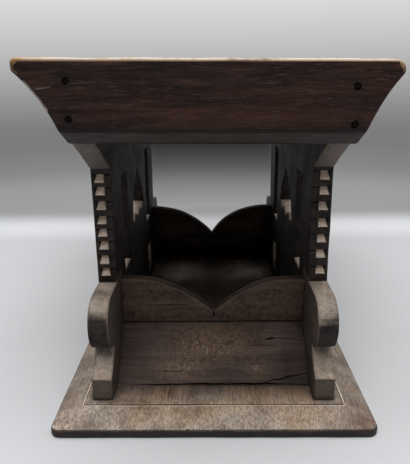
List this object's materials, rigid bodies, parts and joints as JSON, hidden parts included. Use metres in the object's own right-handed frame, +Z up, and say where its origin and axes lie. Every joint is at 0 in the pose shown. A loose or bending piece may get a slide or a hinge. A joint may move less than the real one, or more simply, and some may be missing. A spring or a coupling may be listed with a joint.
{
  "type": "board-built stool",
  "caption": "Long low stool of nailed boards: pierced side boards with notched edges and round noses on a bevelled base, scalloped end boards, seat with slant-ended aprons.",
  "frame": {"origin": "centre of the base's underside, on the floor", "axes": "+Z up, +Y along the stool's length from its front end (the end in the picture) to its back end, +X to the right seen from the front"},
  "size_m": [0.32, 0.583, 0.35],
  "materials": {
    "base_wood": "worn old hardwood, dry, rubbed pale on the bevels",
    "side_wood": "old dark hardwood, dull, edges rubbed",
    "end_wood": "old dark hardwood, dusty",
    "seat_wood": "old dark red-brown hardwood, handled to a soft sheen",
    "nail_iron": "rusted wrought iron, nearly black"
  },
  "bodies": {
    "root": {"base_board": "base_wood", "left_side_board": "side_wood", "right_side_board": "side_wood", "front_end_board": "end_wood", "back_end_board": "end_wood", "front_lower_board": "end_wood", "back_lower_board": "end_wood", "front_apron": "seat_wood", "back_apron": "seat_wood", "seat_board": "seat_wood", "front_apron_nails": "nail_iron", "back_apron_nails": "nail_iron", "left_seat_nails": "nail_iron", "right_seat_nails": "nail_iron"}
  },
  "joints": []
}
